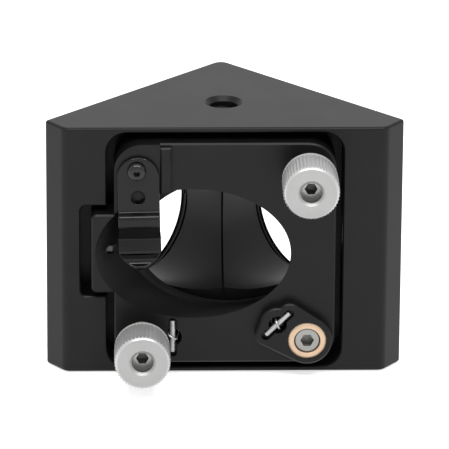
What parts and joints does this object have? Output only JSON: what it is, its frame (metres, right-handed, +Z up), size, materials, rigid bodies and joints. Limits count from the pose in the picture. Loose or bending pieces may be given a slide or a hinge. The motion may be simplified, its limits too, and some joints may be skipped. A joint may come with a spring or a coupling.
{
  "type": "right-angle kinematic mirror mount",
  "caption": "Right-angle mirror mount: triangular housing with threaded ports, and a sprung front plate with an oblique mirror bore, tilted by knurled adjusters about a fixed pivot.",
  "frame": {"origin": "mouth of the threaded post hole in the base", "axes": "+Z up along the post holes, +X to the right across the front, +Y from the front plate to the rear corner"},
  "size_m": [0.0656, 0.0508, 0.0481],
  "materials": {
    "black_anodised": "matt black anodised",
    "seat_steel": "ground",
    "pin_steel": "polished",
    "spring_steel": "drawn wire",
    "ball_steel": "polished",
    "bronze": "turned",
    "screw_steel": "turned",
    "knob_steel": "satin, straight-knurled",
    "black_spring": "blackened spring steel",
    "black_screw": "black oxide",
    "nylon": "moulded"
  },
  "bodies": {
    "housing": {"housing": "black_anodised", "cone_seat": "seat_steel", "vee_seat": "seat_steel", "flat_seat": "seat_steel", "left_rear_pin": "pin_steel", "right_rear_pin": "pin_steel", "left_spring": "spring_steel", "right_spring": "spring_steel"},
    "pivot": {"pivot_ball": "ball_steel"},
    "plate": {"mirror_plate": "black_anodised", "pivot_bushing": "bronze", "pivot_screw": "screw_steel", "upper_bushing": "bronze", "lower_bushing": "bronze", "left_front_pin": "pin_steel", "right_front_pin": "pin_steel", "clamp_spring": "black_spring", "clamp_screw": "black_screw", "clamp_pin": "pin_steel"},
    "upper_foot": {"upper_ball": "ball_steel"},
    "upper_adjuster": {"upper_screw": "screw_steel", "upper_knob": "knob_steel"},
    "lower_foot": {"lower_ball": "ball_steel"},
    "lower_adjuster": {"lower_screw": "screw_steel", "lower_knob": "knob_steel"},
    "mirror_screw": {"set_screw": "black_screw", "set_screw_tip": "nylon"}
  },
  "joints": [
    {"name": "pitch_tilt", "type": "hinge", "parent": "housing", "child": "pivot", "pos_m": [0.01524, -0.0074, 0.00754], "axis": [1, 0, 0], "range_deg": [-2, 4], "deforming": ["left_spring", "right_spring"]},
    {"name": "yaw_tilt", "type": "hinge", "parent": "pivot", "child": "plate", "pos_m": [0.01524, -0.0074, 0.00754], "axis": [0, 0, 1], "range_deg": [-2, 4]},
    {"name": "upper_travel", "type": "slide", "parent": "plate", "child": "upper_foot", "axis": [0, 1, 0], "range_m": [-0.00116, 0.00231]},
    {"name": "upper_turn", "type": "hinge", "parent": "upper_foot", "child": "upper_adjuster", "pos_m": [0.01524, -0.0074, 0.04056], "axis": [0, 1, 0], "range_deg": [-1630, 3265]},
    {"name": "lower_travel", "type": "slide", "parent": "plate", "child": "lower_foot", "axis": [0, 1, 0], "range_m": [-0.00107, 0.00213]},
    {"name": "lower_turn", "type": "hinge", "parent": "lower_foot", "child": "lower_adjuster", "pos_m": [-0.01524, -0.0074, 0.00754], "axis": [0, 1, 0], "range_deg": [-1505, 3013]},
    {"name": "mirror_screw_travel", "type": "slide", "parent": "plate", "child": "mirror_screw", "axis": [1, 0, 0], "range_m": [-0.0008, 0.0006]}
  ],
  "couplings": [
    {"joint": "pitch_tilt", "follows": "upper_turn", "ratio": 0.0012243},
    {"joint": "upper_travel", "follows": "upper_turn", "m_per_rad": 0.000040425},
    {"joint": "yaw_tilt", "follows": "lower_turn", "ratio": 0.0013263},
    {"joint": "lower_travel", "follows": "lower_turn", "m_per_rad": 0.000040425}
  ]
}
